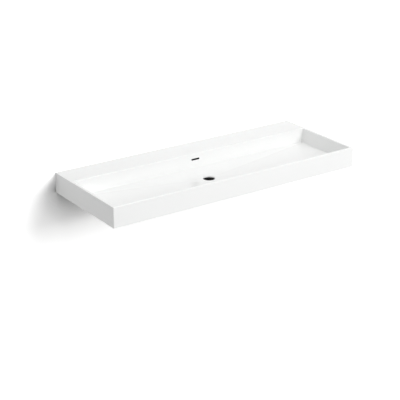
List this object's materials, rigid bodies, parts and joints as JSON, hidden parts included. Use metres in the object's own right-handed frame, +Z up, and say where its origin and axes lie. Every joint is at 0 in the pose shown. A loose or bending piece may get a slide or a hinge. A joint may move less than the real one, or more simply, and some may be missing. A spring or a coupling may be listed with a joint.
{
  "type": "washbasin",
  "caption": "Long, shallow rectangular wall-hung washbasin in glossy white with thin rims, a plain ledge, a slot overflow and a bare waste hole, hung on folded steel consoles.",
  "frame": {"origin": "centre of the four wall screw holes, on the wall plane", "axes": "+X to the user's right along the wall, -Y out of the wall towards the user, +Z up"},
  "size_m": [1.1, 0.42, 0.1125],
  "materials": {
    "gelcoat_white": "glossy white gel coat on a cast mineral body, matt off-white underneath",
    "black_plastic": "black injection moulding, fine matt grain",
    "seal_rubber": "black sealing rubber",
    "console_steel": "folded sheet steel with a grey powder coat",
    "insert_brass": "turned brass",
    "zinc_steel": "bright zinc-plated steel"
  },
  "bodies": {
    "root": {"basin_body": "gelcoat_white", "overflow_inlet": "black_plastic", "overflow_inlet_seal": "seal_rubber", "overflow_duct": "black_plastic", "drain_chamber": "black_plastic", "drain_chamber_seal": "seal_rubber", "wall_bracket_left": "console_steel", "wall_bracket_right": "console_steel", "bracket_cushion_left": "seal_rubber", "bracket_cushion_right": "seal_rubber", "threaded_inserts": "insert_brass", "bracket_bolts": "zinc_steel", "bracket_washers": "zinc_steel", "inlet_screws": "zinc_steel", "chamber_screws": "zinc_steel"}
  },
  "joints": []
}
